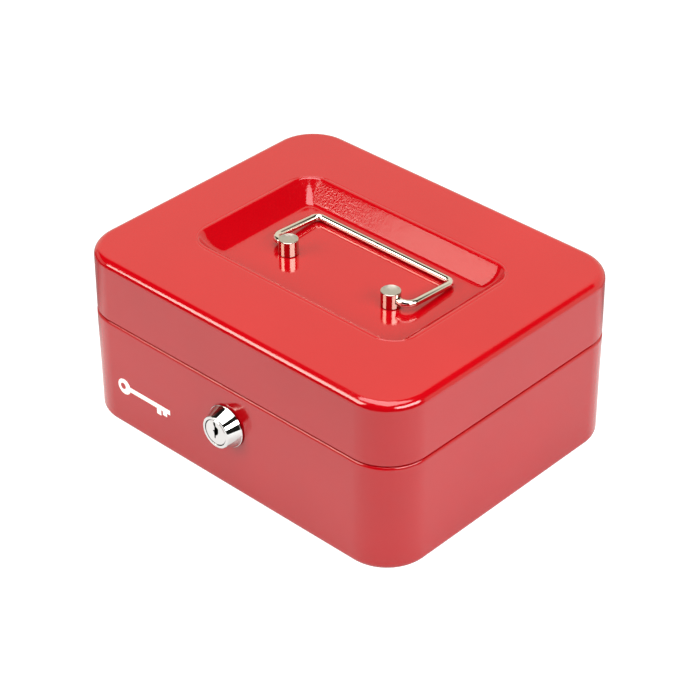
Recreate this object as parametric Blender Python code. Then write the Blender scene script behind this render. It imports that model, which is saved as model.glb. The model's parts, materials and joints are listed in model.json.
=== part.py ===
"""Steel cash box: joggled body, hinged lid with a sunken carrying handle, cam lock and lift-out coin tray.

Metres, +Z up, +X to the right, -Y is the front with the lock. The origin is the middle of the underside.
Every piece of the box is one object. Empties carry the pivots of the lid, the handle and the lock.
"""

import math

import bmesh
import bpy
from mathutils import Matrix, Vector

# ---- Driving dimensions ----
WIDTH = 0.200  # over the shell, along X
DEPTH = 0.160  # over the shell, along Y
HEIGHT = 0.090
SHEET = 0.001
CORNER_RADIUS = 0.0225
SEAM_HEIGHT = 0.058  # underside of the lid's skirt
FIT_GAP = 0.0003  # between pieces that touch
CORNER_STEPS = 8
ROUND_STEPS = 32
EDGE_STEPS = 4

# ---- Body shell ----
FLOOR_EDGE_RADIUS = 0.0035
SHOULDER_TOP = SEAM_HEIGHT - 0.0004
SHOULDER_RADIUS = 0.0012
RIM_INSET = 0.0016  # rim's outer face, inside the body's outer face
RIM_FILLET = 0.0004
RIM_TOP = 0.0655

# ---- Lid shell and its well ----
LID_DRAFT = 0.0004
LID_EDGE_RADIUS = 0.0042
WELL_WIDTH = 0.1325
WELL_DEPTH = 0.0825
WELL_CENTRE_Y = 0.00175
WELL_CORNER_RADIUS = 0.016
WELL_FLOOR = 0.0805
WELL_SLOPE = math.radians(45)
WELL_TOP_RADIUS = 0.0025
WELL_FOOT_RADIUS = 0.003

# ---- Carrying handle ----
POST_X = 0.0323
POST_RADIUS = 0.0048
POST_TOP = 0.0885
SPIGOT_RADIUS = 0.0024
SPIGOT_END = 0.0757
HANDLE_AXIS_Y = -0.0059
HANDLE_AXIS_Z = 0.0847
HANDLE_WIRE_RADIUS = 0.00175
HANDLE_ARM_X = 0.043
HANDLE_REACH = 0.0311  # pivot axis to the bar's centreline
HANDLE_NEAR_BEND = 0.0050
HANDLE_FAR_BEND = 0.0036
HANDLE_END_X = 0.0343
HANDLE_HOLE_RADIUS = 0.0020
HANDLE_HOLE_END_X = 0.0339
POST_WASHER_THICKNESS = 0.001
POST_NUT_THICKNESS = 0.0026
POST_NUT_FLATS = 0.008

# ---- Hinges ----
HINGE_X = 0.062
HINGE_WIDTH = 0.032
HINGE_AXIS_OUT = 0.0003  # axis behind the rear face
HINGE_AXIS_Z = SEAM_HEIGHT - 0.0002
KNUCKLE_RADIUS = 0.0026
KNUCKLE_BORE = 0.00145
PIN_RADIUS = 0.0012
PIN_HEAD_RADIUS = 0.0020
MIDDLE_KNUCKLE = 0.012
LEAF_SHEET = 0.001
LEAF_HEIGHT = 0.020  # axis to the far edge of each leaf
NOTCH_MARGIN = 0.001
NOTCH_CLEARANCE = 0.0006
STOP_ANGLE = math.radians(101.5)
STOP_LENGTH = 0.0045

# ---- Lock, in its own frame: origin where its axis leaves the front face, +Z out of the box, +Y up ----
LOCK_HEIGHT = 0.0365
LOCK_FACE = 0.0076
CONE_BASE_RADIUS = 0.0107
CONE_FACE_RADIUS = 0.0081
CONE_LIP = 0.0008
BARREL_RADIUS = 0.009
BARREL_FLAT = 0.0077
BARREL_END = -0.0105
PLUG_RADIUS = 0.00645
PLUG_BORE = 0.0067
PLUG_FACE = 0.0074
TAIL_END = -0.0125
TAIL_SIDE = 0.006
KEYWAY_ROWS = (  # height, left edge and right edge, up the key's profile
    (-0.0034, -0.0008, -0.0001),
    (-0.0016, -0.0008, 0.0001),
    (-0.0012, -0.0009, 0.0009),
    (-0.0001, -0.0010, 0.0016),
    (0.0001, -0.0016, 0.0017),
    (0.0007, -0.0016, 0.0018),
    (0.0009, -0.0007, 0.0018),
    (0.0026, -0.0006, 0.0018),
    (0.0032, -0.0007, 0.0005),
    (0.0036, -0.0012, 0.0002),
    (0.0054, -0.0012, -0.0002),
)
KEYWAY_LOW = KEYWAY_ROWS[0][0]
KEYWAY_HIGH = KEYWAY_ROWS[-1][0]
KEYWAY_END = -0.006
LOCK_WASHER_THICKNESS = 0.0008
LOCK_NUT_THICKNESS = 0.0035
LOCK_NUT_FLATS = 0.022
CAM_THICKNESS = 0.0015
CAM_HUB_RADIUS = 0.0065
CAM_ARM_WIDTH = 0.009
CAM_FINGER_INNER = 0.016
CAM_FINGER_OUTER = 0.0195
CAM_FINGER_END = math.radians(38)
CAM_SCREW_RADIUS = 0.0019
CAM_SCREW_HEAD_RADIUS = 0.0042
CAM_SCREW_HEAD = 0.0022
CAM_SCREW_DEPTH = 0.0065

# ---- Wafers inside the plug ----
WAFER_COUNT = 5
WAFER_FIRST = 0.0050
WAFER_PITCH = 0.0023
WAFER_THICKNESS = 0.0007
WAFER_SLOT = 0.0012
WAFER_HALF_WIDTH = 0.003
WAFER_HALF_HEIGHT = 0.0056
WAFER_WINDOW_HALF = 0.0020
WAFER_TRAVEL = 0.0006
GROOVE_DEPTH = 0.0076
LUG_END = 0.0051
LUG_THICKNESS = 0.0012
SPRING_X = 0.0043
SPRING_COIL_RADIUS = 0.0006
SPRING_WIRE_RADIUS = 0.00014
SPRING_TURNS = 4
SPRING_LOW = -0.0036
SPRING_HIGH = -0.0009
SPRING_TURN_STEPS = 7
POCKET_HALF_WIDTH = 0.0010

# ---- Strike on the lid ----
STRIKE_WIDTH = 0.022
STRIKE_SHEET = 0.0012
STRIKE_PLATE_TOP = 0.0835
STRIKE_STEP_HEIGHT = 0.0672
STRIKE_HANG_Y = 0.0034  # hanging plate's outer face, inside the front face
STRIKE_TAB_X = -0.0076
STRIKE_TAB_LENGTH = 0.0112
STRIKE_FOOT = 0.0479
STRIKE_WINDOW_LOW = 0.0495
STRIKE_WINDOW_HIGH = 0.0556
STRIKE_WINDOW_NEAR = 0.0088  # from the front face
STRIKE_WINDOW_FAR = 0.0131

# ---- Coin tray ----
TRAY_INSET = 0.0019
TRAY_TOP = 0.0672
TRAY_WALL = 0.0014
TRAY_BOTTOM = 0.040
TRAY_DRAFT = 0.002
TRAY_SCOOP = 0.009
TRAY_CORNER = 0.006
TRAY_CORNER_STEPS = 4
TRAY_OUTER_CORNER = 0.016
TRAY_LEAST_CORNER = 0.0025
TRAY_EDGE_X = 0.0945
TRAY_OUTER_SPLIT = 0.050
TRAY_INNER_SPLIT = 0.044
TRAY_MIDDLE_SPLIT = 0.003
TRAY_FRONT = -0.0745
TRAY_FRONT_INNER = -0.057
TRAY_CROSS_FRONT = 0.022
TRAY_CROSS_REAR = 0.028
TRAY_REAR = 0.0745
LOCK_BAY_HALF = 0.024
LOCK_BAY_REAR = -0.0615
TAB_X = 0.0962
TAB_HALF_LENGTH = 0.012
TAB_TOP = 0.076

SIDES = {"left": -1, "right": 1}


# ---- Scene, materials and object helpers ----
def clear_scene():
    for obj in list(bpy.data.objects):
        bpy.data.objects.remove(obj)


def material(name, colour, roughness, metallic):
    """A Principled BSDF of one colour."""
    made = bpy.data.materials.new(name)
    made.use_nodes = True
    shader = made.node_tree.nodes["Principled BSDF"]
    shader.inputs["Base Color"].default_value = (*colour, 1.0)
    shader.inputs["Roughness"].default_value = roughness
    shader.inputs["Metallic"].default_value = metallic
    made.diffuse_color = (*colour, 1.0)
    return made


def make_materials():
    return {
        "paint": material("red_paint", (0.72, 0.045, 0.035), 0.32, 0.0),
        "chrome": material("chrome", (0.86, 0.86, 0.86), 0.08, 1.0),
        "nickel": material("nickel", (0.72, 0.68, 0.62), 0.22, 1.0),
        "steel": material("zinc_steel", (0.55, 0.56, 0.58), 0.38, 1.0),
        "brass": material("brass", (0.80, 0.60, 0.28), 0.30, 1.0),
        "plastic": material("black_plastic", (0.020, 0.020, 0.022), 0.45, 0.0),
    }


def new_object(name, mesh, look=None, parent=None, location=(0, 0, 0)):
    obj = bpy.data.objects.new(name, mesh)
    bpy.context.scene.collection.objects.link(obj)
    obj.parent = parent
    obj.location = location
    if look is not None:
        mesh.materials.append(look)
    return obj


def mesh_from(bm, name):
    """The bmesh as a smooth mesh with its real edges sharp."""
    bmesh.ops.recalc_face_normals(bm, faces=bm.faces)
    mesh = bpy.data.meshes.new(name)
    bm.to_mesh(mesh)
    bm.free()
    mesh.shade_smooth()
    mesh.set_sharp_from_angle(angle=math.radians(35))
    return mesh


def pivot(name, location, parent=None, rotation=(0, 0, 0)):
    """An empty on a joint's axis."""
    empty = bpy.data.objects.new(name, None)
    bpy.context.scene.collection.objects.link(empty)
    empty.parent = parent
    empty.location = location
    empty.rotation_euler = rotation
    empty.empty_display_size = 0.01
    return empty


def combine(obj, mesh, operation):
    """A Boolean with a hidden helper that shares the object's frame."""
    helper = new_object(f"{obj.name}_helper", mesh, parent=obj)
    helper.hide_render = True
    helper.display_type = "WIRE"
    modifier = obj.modifiers.new(operation.lower(), "BOOLEAN")
    modifier.operation = operation
    modifier.solver = "EXACT"
    modifier.object = helper


def cut(obj, mesh):
    combine(obj, mesh, "DIFFERENCE")


def join(obj, mesh):
    combine(obj, mesh, "UNION")


# ---- Shape helpers ----
def arc(centre, radius, start, end, steps):
    """Points of an arc in a plane, ends included, with angles in radians."""
    return [
        (
            centre[0] + radius * math.cos(start + (end - start) * step / steps),
            centre[1] + radius * math.sin(start + (end - start) * step / steps),
        )
        for step in range(steps + 1)
    ]


def cornered_ring(low, high, radii, z, steps=CORNER_STEPS):
    """A rectangle at height z with its own radius at each corner, anticlockwise from the high corner."""
    points = []
    for quarter, (side_x, side_y) in enumerate(((1, 1), (-1, 1), (-1, -1), (1, -1))):
        radius = radii[quarter]
        corner = (
            high[0] - radius if side_x > 0 else low[0] + radius,
            high[1] - radius if side_y > 0 else low[1] + radius,
        )
        start = quarter * math.pi / 2
        corner_points = arc(corner, radius, start, start + math.pi / 2, steps)
        points += [Vector((x, y, z)) for x, y in corner_points]
    return points


def rounded_ring(width, depth, radius, z, centre_y=0.0):
    """A rounded rectangle at height z, centred on X."""
    low = (-width / 2, centre_y - depth / 2)
    high = (width / 2, centre_y + depth / 2)
    return cornered_ring(low, high, [radius] * 4, z)


def loft(rings, name):
    """A closed solid through rings of equal length. The first ring's cap faces down and the last one's up."""
    bm = bmesh.new()
    rows = [[bm.verts.new(point) for point in ring] for ring in rings]
    count = len(rows[0])
    for low, high in zip(rows, rows[1:]):
        for i in range(count):
            j = (i + 1) % count
            bm.faces.new((low[i], low[j], high[j], high[i]))
    bm.faces.new(list(reversed(rows[0])))
    bm.faces.new(rows[-1])
    return mesh_from(bm, name)


def prism(outline, low, high, name, frame=None):
    """A flat outline pushed along the frame's Z from low to high."""
    bm = bmesh.new()
    bottom = [bm.verts.new((x, y, low)) for x, y in outline]
    top = [bm.verts.new((x, y, high)) for x, y in outline]
    for i in range(len(outline)):
        j = (i + 1) % len(outline)
        bm.faces.new((bottom[i], bottom[j], top[j], top[i]))
    bm.faces.new(list(reversed(bottom)))
    bm.faces.new(top)
    if frame is not None:
        bmesh.ops.transform(bm, matrix=frame, verts=bm.verts)
    return mesh_from(bm, name)


def block(low, high, name):
    """A box between two corners."""
    outline = ((low[0], low[1]), (high[0], low[1]), (high[0], high[1]), (low[0], high[1]))
    return prism(outline, low[2], high[2], name)


def disc(radius, steps=ROUND_STEPS, centre=(0.0, 0.0)):
    """The outline of a circle."""
    return arc(centre, radius, 0, 2 * math.pi, steps)[:-1]


def hexagon(flats):
    """A hexagon with a flat at the top."""
    return arc((0, 0), flats / math.sqrt(3), 0, 2 * math.pi, 6)[:-1]


def double_d(radius, flat):
    """A circle cut by two level flats."""
    half = math.asin(flat / radius)
    right = arc((0, 0), radius, -half, half, ROUND_STEPS // 3)
    left = arc((0, 0), radius, math.pi - half, math.pi + half, ROUND_STEPS // 3)
    return right + left


def lathe(profile, name, steps=ROUND_STEPS):
    """A solid turned about Z from (radius, height) points that start and end on the axis."""
    bm = bmesh.new()
    rows = []
    for radius, height in profile:
        if radius == 0:
            rows.append([bm.verts.new((0, 0, height))] * steps)
        else:
            rows.append([bm.verts.new((x, y, height)) for x, y in disc(radius, steps)])
    for low, high in zip(rows, rows[1:]):
        for i in range(steps):
            j = (i + 1) % steps
            corners = dict.fromkeys((low[i], low[j], high[j], high[i]))
            bm.faces.new(list(corners))
    return mesh_from(bm, name)


# Turns a prism's Z onto X, with its outline's X on Y and Y on Z.
ALONG_X = Matrix(((0, 0, 1, 0), (1, 0, 0, 0), (0, 1, 0, 0), (0, 0, 0, 1)))


# ---- Body shell ----
def body_profile():
    """(inset, height) from the underside, up the outside, over the rim and down the inside."""
    edge = FLOOR_EDGE_RADIUS
    quarter = math.pi / 2
    shoulder = (SHOULDER_RADIUS, SHOULDER_TOP - SHOULDER_RADIUS)
    fillet = (RIM_INSET - RIM_FILLET, SHOULDER_TOP + RIM_FILLET)
    outside = arc((edge, edge), edge, -quarter, -2 * quarter, EDGE_STEPS)
    outside += arc(shoulder, SHOULDER_RADIUS, 2 * quarter, quarter, EDGE_STEPS)
    outside += arc(fillet, RIM_FILLET, -quarter, 0, 2)[1:]
    rim_edge = SHEET / 3
    outside += [(RIM_INSET, RIM_TOP - rim_edge), (RIM_INSET + rim_edge, RIM_TOP)]
    inside = [(RIM_INSET + SHEET - rim_edge, RIM_TOP), (RIM_INSET + SHEET, RIM_TOP - rim_edge)]
    inside += arc(fillet, RIM_FILLET + SHEET, 0, -quarter, EDGE_STEPS)
    inside += [(SHEET, SHOULDER_TOP - SHOULDER_RADIUS)]
    inside += arc((edge, edge), edge - SHEET, 2 * quarter, 3 * quarter, EDGE_STEPS)
    return outside + inside


def shell_ring(inset, z):
    """The shell's outline, drawn in by inset."""
    return rounded_ring(WIDTH - 2 * inset, DEPTH - 2 * inset, CORNER_RADIUS - inset, z)


def hinge_notch(side, low, high, name):
    """The block cut out of a rear wall at one hinge, between two heights."""
    half = HINGE_WIDTH / 2 + NOTCH_MARGIN
    near = DEPTH / 2 - RIM_INSET - SHEET - NOTCH_CLEARANCE
    middle = side * HINGE_X
    return block((middle - half, near, low), (middle + half, DEPTH / 2 + SHEET, high), name)


def body_shell(looks):
    rings = [shell_ring(inset, z) for inset, z in body_profile()]
    body = new_object("body_shell", loft(rings, "body_shell"), looks["paint"])
    notch_floor = HINGE_AXIS_Z - KNUCKLE_RADIUS - NOTCH_CLEARANCE
    for side in SIDES.values():
        cut(body, hinge_notch(side, notch_floor, RIM_TOP + SHEET, "body_notch"))
    lock_frame = Matrix.Translation((0, -DEPTH / 2, LOCK_HEIGHT)) @ Matrix.Rotation(math.pi / 2, 4, "X")
    hole = double_d(BARREL_RADIUS + FIT_GAP, BARREL_FLAT + FIT_GAP)
    cut(body, prism(hole, -3 * SHEET, 2 * SHEET, "lock_hole", lock_frame))
    return body


# ---- Lid shell ----
def well_run():
    """Horizontal length of the well's sloping wall, fillets included."""
    radii = WELL_TOP_RADIUS + WELL_FOOT_RADIUS
    drop = HEIGHT - WELL_FLOOR - radii * (1 - math.cos(WELL_SLOPE))
    return radii * math.sin(WELL_SLOPE) + drop / math.tan(WELL_SLOPE)


def well_profile(offset):
    """(inset, height) down the well's wall, on the face that lies offset below the outer one."""
    top = (0.0, HEIGHT - WELL_TOP_RADIUS)
    foot = (well_run(), WELL_FLOOR + WELL_FOOT_RADIUS)
    quarter = math.pi / 2
    down = arc(top, WELL_TOP_RADIUS - offset, quarter, quarter - WELL_SLOPE, EDGE_STEPS)
    down += arc(foot, WELL_FOOT_RADIUS + offset, -quarter - WELL_SLOPE, -quarter, EDGE_STEPS)
    return down


def well_ring(inset, z):
    """The well's outline, drawn in by inset."""
    return rounded_ring(
        WELL_WIDTH - 2 * inset,
        WELL_DEPTH - 2 * inset,
        WELL_CORNER_RADIUS - inset,
        z,
        WELL_CENTRE_Y,
    )


def lid_skirt(offset):
    """(inset, height) up the skirt and over the top edge, on the face that lies offset inside the outer one."""
    centre = (LID_DRAFT + LID_EDGE_RADIUS, HEIGHT - LID_EDGE_RADIUS)
    up = [(offset, SEAM_HEIGHT)]
    up += arc(centre, LID_EDGE_RADIUS - offset, math.pi, math.pi / 2, EDGE_STEPS + 2)
    return up


def lid_shell(looks, lid_pivot):
    rings = [well_ring(inset, z) for inset, z in reversed(well_profile(SHEET))]
    rings += [shell_ring(inset, z) for inset, z in reversed(lid_skirt(SHEET))]
    rings += [shell_ring(inset, z) for inset, z in lid_skirt(0.0)]
    rings += [well_ring(inset, z) for inset, z in well_profile(0.0)]
    lid = new_object("lid_shell", loft(rings, "lid_shell"), looks["paint"], lid_pivot, -lid_pivot.location)
    notch_top = HINGE_AXIS_Z + KNUCKLE_RADIUS + NOTCH_CLEARANCE
    for side in SIDES.values():
        cut(lid, hinge_notch(side, SEAM_HEIGHT - SHEET, notch_top, "lid_notch"))
        hole = disc(SPIGOT_RADIUS + FIT_GAP, 24, (side * POST_X, HANDLE_AXIS_Y))
        cut(lid, prism(hole, WELL_FLOOR - 3 * SHEET, WELL_FLOOR + 2 * SHEET, "post_hole"))
    return lid


# ---- Handle ----
def handle_route():
    """The bar's centreline in the handle's own frame, with its pivot axis along X."""
    near, far = HANDLE_NEAR_BEND, HANDLE_FAR_BEND
    quarter = math.pi / 2
    half = [(HANDLE_END_X, 0.0)]
    half += arc((HANDLE_ARM_X - near, near), near, -quarter, 0, 6)
    half += arc((HANDLE_ARM_X - far, HANDLE_REACH - far), far, 0, quarter, 6)
    other_half = [(-x, y) for x, y in reversed(half)]
    return half + other_half


def carry_handle(looks, handle_pivot):
    curve = bpy.data.curves.new("carry_handle", "CURVE")
    curve.dimensions = "3D"
    curve.bevel_depth = HANDLE_WIRE_RADIUS
    curve.bevel_resolution = 4
    curve.use_fill_caps = True
    spline = curve.splines.new("POLY")
    route = handle_route()
    spline.points.add(len(route) - 1)
    for point, (x, y) in zip(spline.points, route):
        point.co = (x, y, 0.0, 1.0)
    return new_object("carry_handle", curve, looks["chrome"], handle_pivot)


def handle_post(looks, name, side, lid_pivot):
    """A turned post with a spigot through the well's floor and a side hole for the bar's end."""
    foot = WELL_FLOOR + FIT_GAP
    edge = 0.0004
    profile = [
        (0, SPIGOT_END),
        (SPIGOT_RADIUS, SPIGOT_END),
        (SPIGOT_RADIUS, foot),
        (POST_RADIUS, foot),
        (POST_RADIUS, POST_TOP - edge),
        (POST_RADIUS - edge, POST_TOP),
        (0, POST_TOP),
    ]
    profile = [(radius, z - HANDLE_AXIS_Z) for radius, z in profile]
    place = Vector((side * POST_X, HANDLE_AXIS_Y, HANDLE_AXIS_Z)) - lid_pivot.location
    post = new_object(name, lathe(profile, name), looks["nickel"], lid_pivot, place)
    ends = sorted((side * (HANDLE_HOLE_END_X - POST_X), side * 2 * POST_RADIUS))
    cut(post, prism(disc(HANDLE_HOLE_RADIUS, 20), *ends, "bar_hole", ALONG_X))
    return post


def under_post(looks, name, outline, side, top, thickness, lid_pivot):
    """A washer or nut on a post's spigot, below the well."""
    place = Vector((side * POST_X, HANDLE_AXIS_Y, top)) - lid_pivot.location
    piece = new_object(name, prism(outline, -thickness, 0, name), looks["steel"], lid_pivot, place)
    bore = disc(SPIGOT_RADIUS + FIT_GAP, 24)
    cut(piece, prism(bore, -2 * thickness, thickness, "spigot_bore"))
    return piece


def handle_set(looks, lid_pivot):
    handle_place = Vector((0, HANDLE_AXIS_Y, HANDLE_AXIS_Z)) - lid_pivot.location
    drop = HANDLE_AXIS_Z - WELL_FLOOR - HANDLE_WIRE_RADIUS - FIT_GAP
    lying_back = (-math.asin(drop / HANDLE_REACH), 0, 0)
    carry_handle(looks, pivot("handle_pivot", handle_place, lid_pivot, lying_back))
    washer_top = WELL_FLOOR - SHEET - FIT_GAP
    nut_top = washer_top - POST_WASHER_THICKNESS - FIT_GAP
    for name, side in SIDES.items():
        handle_post(looks, f"handle_post_{name}", side, lid_pivot)
        under_post(
            looks, f"post_washer_{name}", disc(0.005), side, washer_top, POST_WASHER_THICKNESS, lid_pivot
        )
        under_post(
            looks, f"post_nut_{name}", hexagon(POST_NUT_FLATS), side, nut_top, POST_NUT_THICKNESS, lid_pivot
        )


# ---- Hinges, in a frame with X along the axis, Y to the rear and Z up ----
def leaf_outline(side):
    """Outline in Y and Z of a leaf with its rolled knuckle: side is 1 for the lid's and -1 for the body's."""
    near, far = -KNUCKLE_RADIUS, LEAF_SHEET - KNUCKLE_RADIUS
    roll_end = 2 * math.pi + math.acos(far / KNUCKLE_RADIUS)
    rolled = arc((0, 0), KNUCKLE_RADIUS, math.pi, roll_end, 20)
    outline = rolled + [(far, LEAF_HEIGHT), (near, LEAF_HEIGHT)]
    return [(y, side * z) for y, z in outline]


def hinge_leaf(looks, name, side, gaps, hinge_pivot):
    """One leaf with its rolled knuckles. gaps are the (start, end) stretches without a knuckle."""
    half = HINGE_WIDTH / 2
    leaf = new_object(
        name, prism(leaf_outline(side), -half, half, name, ALONG_X), looks["paint"], hinge_pivot
    )
    reach = KNUCKLE_RADIUS + NOTCH_CLEARANCE
    low, high = sorted((-side * 2 * reach, side * reach))
    for first, last in gaps:
        cut(leaf, block((first, -2 * reach, low), (last, 2 * reach, high), "knuckle_gap"))
    return leaf


def bore_for_pin(leaf):
    cut(leaf, prism(disc(KNUCKLE_BORE, 20), -HINGE_WIDTH, HINGE_WIDTH, "pin_bore", ALONG_X))


def stop_tail():
    """Outline in Y and Z of the knuckle's tail, which meets the rear wall when the lid stands fully open."""
    reach = -HINGE_AXIS_OUT - STOP_LENGTH * math.cos(STOP_ANGLE)
    height = reach / math.sin(STOP_ANGLE)
    top = height + LEAF_SHEET
    root = KNUCKLE_RADIUS * 0.7
    return [(root, height), (STOP_LENGTH, height), (STOP_LENGTH, top), (root, top)]


def hinge_pin(looks, name, hinge_pivot):
    half = HINGE_WIDTH / 2
    head = 0.0006
    profile = [
        (0, -half - FIT_GAP - head),
        (PIN_HEAD_RADIUS, -half - FIT_GAP - head),
        (PIN_HEAD_RADIUS, -half - FIT_GAP),
        (PIN_RADIUS, -half - FIT_GAP),
        (PIN_RADIUS, half + FIT_GAP),
        (PIN_RADIUS * 0.7, half + 2 * FIT_GAP),
        (0, half + 2 * FIT_GAP),
    ]
    pin = new_object(name, lathe(profile, name, 20), looks["steel"], hinge_pivot)
    pin.rotation_euler = (0, math.pi / 2, 0)
    return pin


def hinge(looks, name, side):
    place = (side * HINGE_X, DEPTH / 2 + HINGE_AXIS_OUT, HINGE_AXIS_Z)
    hinge_pivot = pivot(f"hinge_{name}_axis", place)
    half = HINGE_WIDTH / 2
    middle = MIDDLE_KNUCKLE / 2
    body_gaps = [(-middle, middle)]
    body_leaf = hinge_leaf(looks, f"hinge_{name}_body_leaf", -1, body_gaps, hinge_pivot)
    bore_for_pin(body_leaf)
    shy = middle - FIT_GAP
    lid_gaps = [(-half - SHEET, -shy), (shy, half + SHEET)]
    lid_leaf = hinge_leaf(looks, f"hinge_{name}_lid_leaf", 1, lid_gaps, hinge_pivot)
    join(lid_leaf, prism(stop_tail(), FIT_GAP - middle, middle - FIT_GAP, "stop_tail", ALONG_X))
    bore_for_pin(lid_leaf)
    hinge_pin(looks, f"hinge_{name}_pin", hinge_pivot)


# ---- Lock ----
def lock_housing(looks, lock_base):
    """The conical head and the barrel, bored for the plug, with the grooves that the wafers spring into."""
    edge = 0.0005
    head = [
        (0, FIT_GAP),
        (CONE_BASE_RADIUS - edge / 2, FIT_GAP),
        (CONE_BASE_RADIUS, FIT_GAP + edge),
        (CONE_BASE_RADIUS, CONE_LIP),
        (CONE_FACE_RADIUS, LOCK_FACE - edge),
        (CONE_FACE_RADIUS - edge, LOCK_FACE),
        (0, LOCK_FACE),
    ]
    housing = new_object("lock_housing", lathe(head, "lock_housing", 40), looks["chrome"], lock_base)
    barrel = double_d(BARREL_RADIUS, BARREL_FLAT)
    join(housing, prism(barrel, BARREL_END, 2 * FIT_GAP + edge, "barrel"))
    cut(housing, prism(disc(PLUG_BORE, 40), 2 * BARREL_END, 2 * LOCK_FACE, "plug_bore"))
    groove_half = WAFER_HALF_WIDTH + 2 * FIT_GAP
    rear = wafer_place(WAFER_COUNT - 1) - WAFER_PITCH / 2
    front = wafer_place(0) + WAFER_PITCH / 2
    cut(housing, block((-groove_half, 0, rear), (groove_half, GROOVE_DEPTH, front), "top_groove"))
    cut(housing, block((-GROOVE_DEPTH, -groove_half, rear), (0, groove_half, front), "side_groove"))
    return housing


def lock_ring(looks, name, outline, front, thickness, lock_base):
    """A washer or nut on the barrel, behind the front wall."""
    ring = new_object(name, prism(outline, front - thickness, front, name), looks["steel"], lock_base)
    cut(ring, prism(disc(BARREL_RADIUS + FIT_GAP, 40), -1.0, 1.0, "barrel_bore"))
    return ring


def wafer_place(index):
    """Where a wafer's middle lies along the lock's axis."""
    return WAFER_FIRST - index * WAFER_PITCH


def wafer_side(index):
    """The lugs and their springs stand to the right and the left in turn."""
    return 1 if index % 2 == 0 else -1


def keyway_outline():
    """The key's wavy profile: up its right edge and down its left."""
    right = [(edge, height) for height, _, edge in KEYWAY_ROWS]
    left = [(edge, height) for height, edge, _ in reversed(KEYWAY_ROWS)]
    return right + left


def lock_plug(looks, plug_pivot):
    """The turning cylinder, slotted for the wafers, with a keyway and a square tail for the cam."""
    edge = 0.0003
    cylinder = [
        (0, BARREL_END),
        (PLUG_RADIUS, BARREL_END),
        (PLUG_RADIUS, PLUG_FACE - edge),
        (PLUG_RADIUS - edge, PLUG_FACE),
        (0, PLUG_FACE),
    ]
    plug = new_object("lock_plug", lathe(cylinder, "lock_plug", 64), looks["chrome"], plug_pivot)
    tail = TAIL_SIDE / 2
    join(plug, block((-tail, -tail, TAIL_END), (tail, tail, BARREL_END + SHEET), "tail"))
    cut(plug, prism(keyway_outline(), KEYWAY_END, LOCK_FACE, "keyway"))
    screw_bore = disc(CAM_SCREW_RADIUS + FIT_GAP, 20)
    cut(plug, prism(screw_bore, 2 * TAIL_END, TAIL_END + CAM_SCREW_DEPTH, "screw_bore"))
    slot_half = WAFER_HALF_WIDTH + FIT_GAP / 2
    for index in range(WAFER_COUNT):
        middle = wafer_place(index)
        low, high = middle - WAFER_SLOT / 2, middle + WAFER_SLOT / 2
        tall = 2 * PLUG_RADIUS
        cut(plug, block((-slot_half, -tall, low), (slot_half, tall, high), f"wafer_slot_{index}"))
        near, far = sorted((0.0, wafer_side(index) * (LUG_END + FIT_GAP)))
        pocket_top = LUG_THICKNESS / 2 + WAFER_TRAVEL + FIT_GAP
        pocket_low = (near, SPRING_LOW - FIT_GAP, middle - POCKET_HALF_WIDTH)
        pocket_high = (far, pocket_top, middle + POCKET_HALF_WIDTH)
        cut(plug, block(pocket_low, pocket_high, f"spring_pocket_{index}"))
    return plug


def wafer(looks, index, plug_pivot):
    """A slotted brass plate with a side lug that its spring pushes on."""
    name = f"wafer_{index + 1}"
    middle = wafer_place(index)
    low, high = middle - WAFER_THICKNESS / 2, middle + WAFER_THICKNESS / 2
    half, tall = WAFER_HALF_WIDTH, WAFER_HALF_HEIGHT
    plate = block((-half, -tall, low), (half, tall, high), name)
    piece = new_object(name, plate, looks["brass"], plug_pivot)
    inner, outer = sorted((wafer_side(index) * half * 0.8, wafer_side(index) * LUG_END))
    lug = LUG_THICKNESS / 2
    join(piece, block((inner, -lug, low), (outer, lug, high), "lug"))
    window = WAFER_WINDOW_HALF
    bottom, top = KEYWAY_LOW - FIT_GAP, KEYWAY_HIGH - 2 * FIT_GAP
    cut(piece, block((-window, bottom, low - SHEET), (window, top, high + SHEET), "key_window"))
    return piece


def wafer_spring(looks, index, plug_pivot):
    """A compression spring under a wafer's lug, wound about a line that runs up the pocket."""
    name = f"wafer_spring_{index + 1}"
    curve = bpy.data.curves.new(name, "CURVE")
    curve.dimensions = "3D"
    curve.bevel_depth = SPRING_WIRE_RADIUS
    curve.bevel_resolution = 0
    curve.use_fill_caps = True
    spline = curve.splines.new("POLY")
    steps = SPRING_TURNS * SPRING_TURN_STEPS
    spline.points.add(steps)
    for step, point in enumerate(spline.points):
        angle = 2 * math.pi * step / SPRING_TURN_STEPS
        x = wafer_side(index) * SPRING_X + SPRING_COIL_RADIUS * math.cos(angle)
        z = wafer_place(index) + SPRING_COIL_RADIUS * math.sin(angle)
        y = SPRING_LOW + (SPRING_HIGH - SPRING_LOW) * step / steps
        point.co = (x, y, z, 1.0)
    return new_object(name, curve, looks["steel"], plug_pivot)


def cam_outline():
    """The cam's arm along +X with a finger that runs round the axis from the arm's tip."""
    arm = CAM_ARM_WIDTH / 2
    inner_start = math.asin(arm / CAM_FINGER_INNER)
    outer_low = -math.asin(arm / CAM_FINGER_OUTER)
    hub = math.asin(arm / CAM_HUB_RADIUS)
    outline = arc((0, 0), CAM_HUB_RADIUS, hub, 2 * math.pi - hub, 16)
    outline += arc((0, 0), CAM_FINGER_OUTER, outer_low, CAM_FINGER_END, 10)
    outline += arc((0, 0), CAM_FINGER_INNER, CAM_FINGER_END, inner_start, 6)
    return outline


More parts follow.
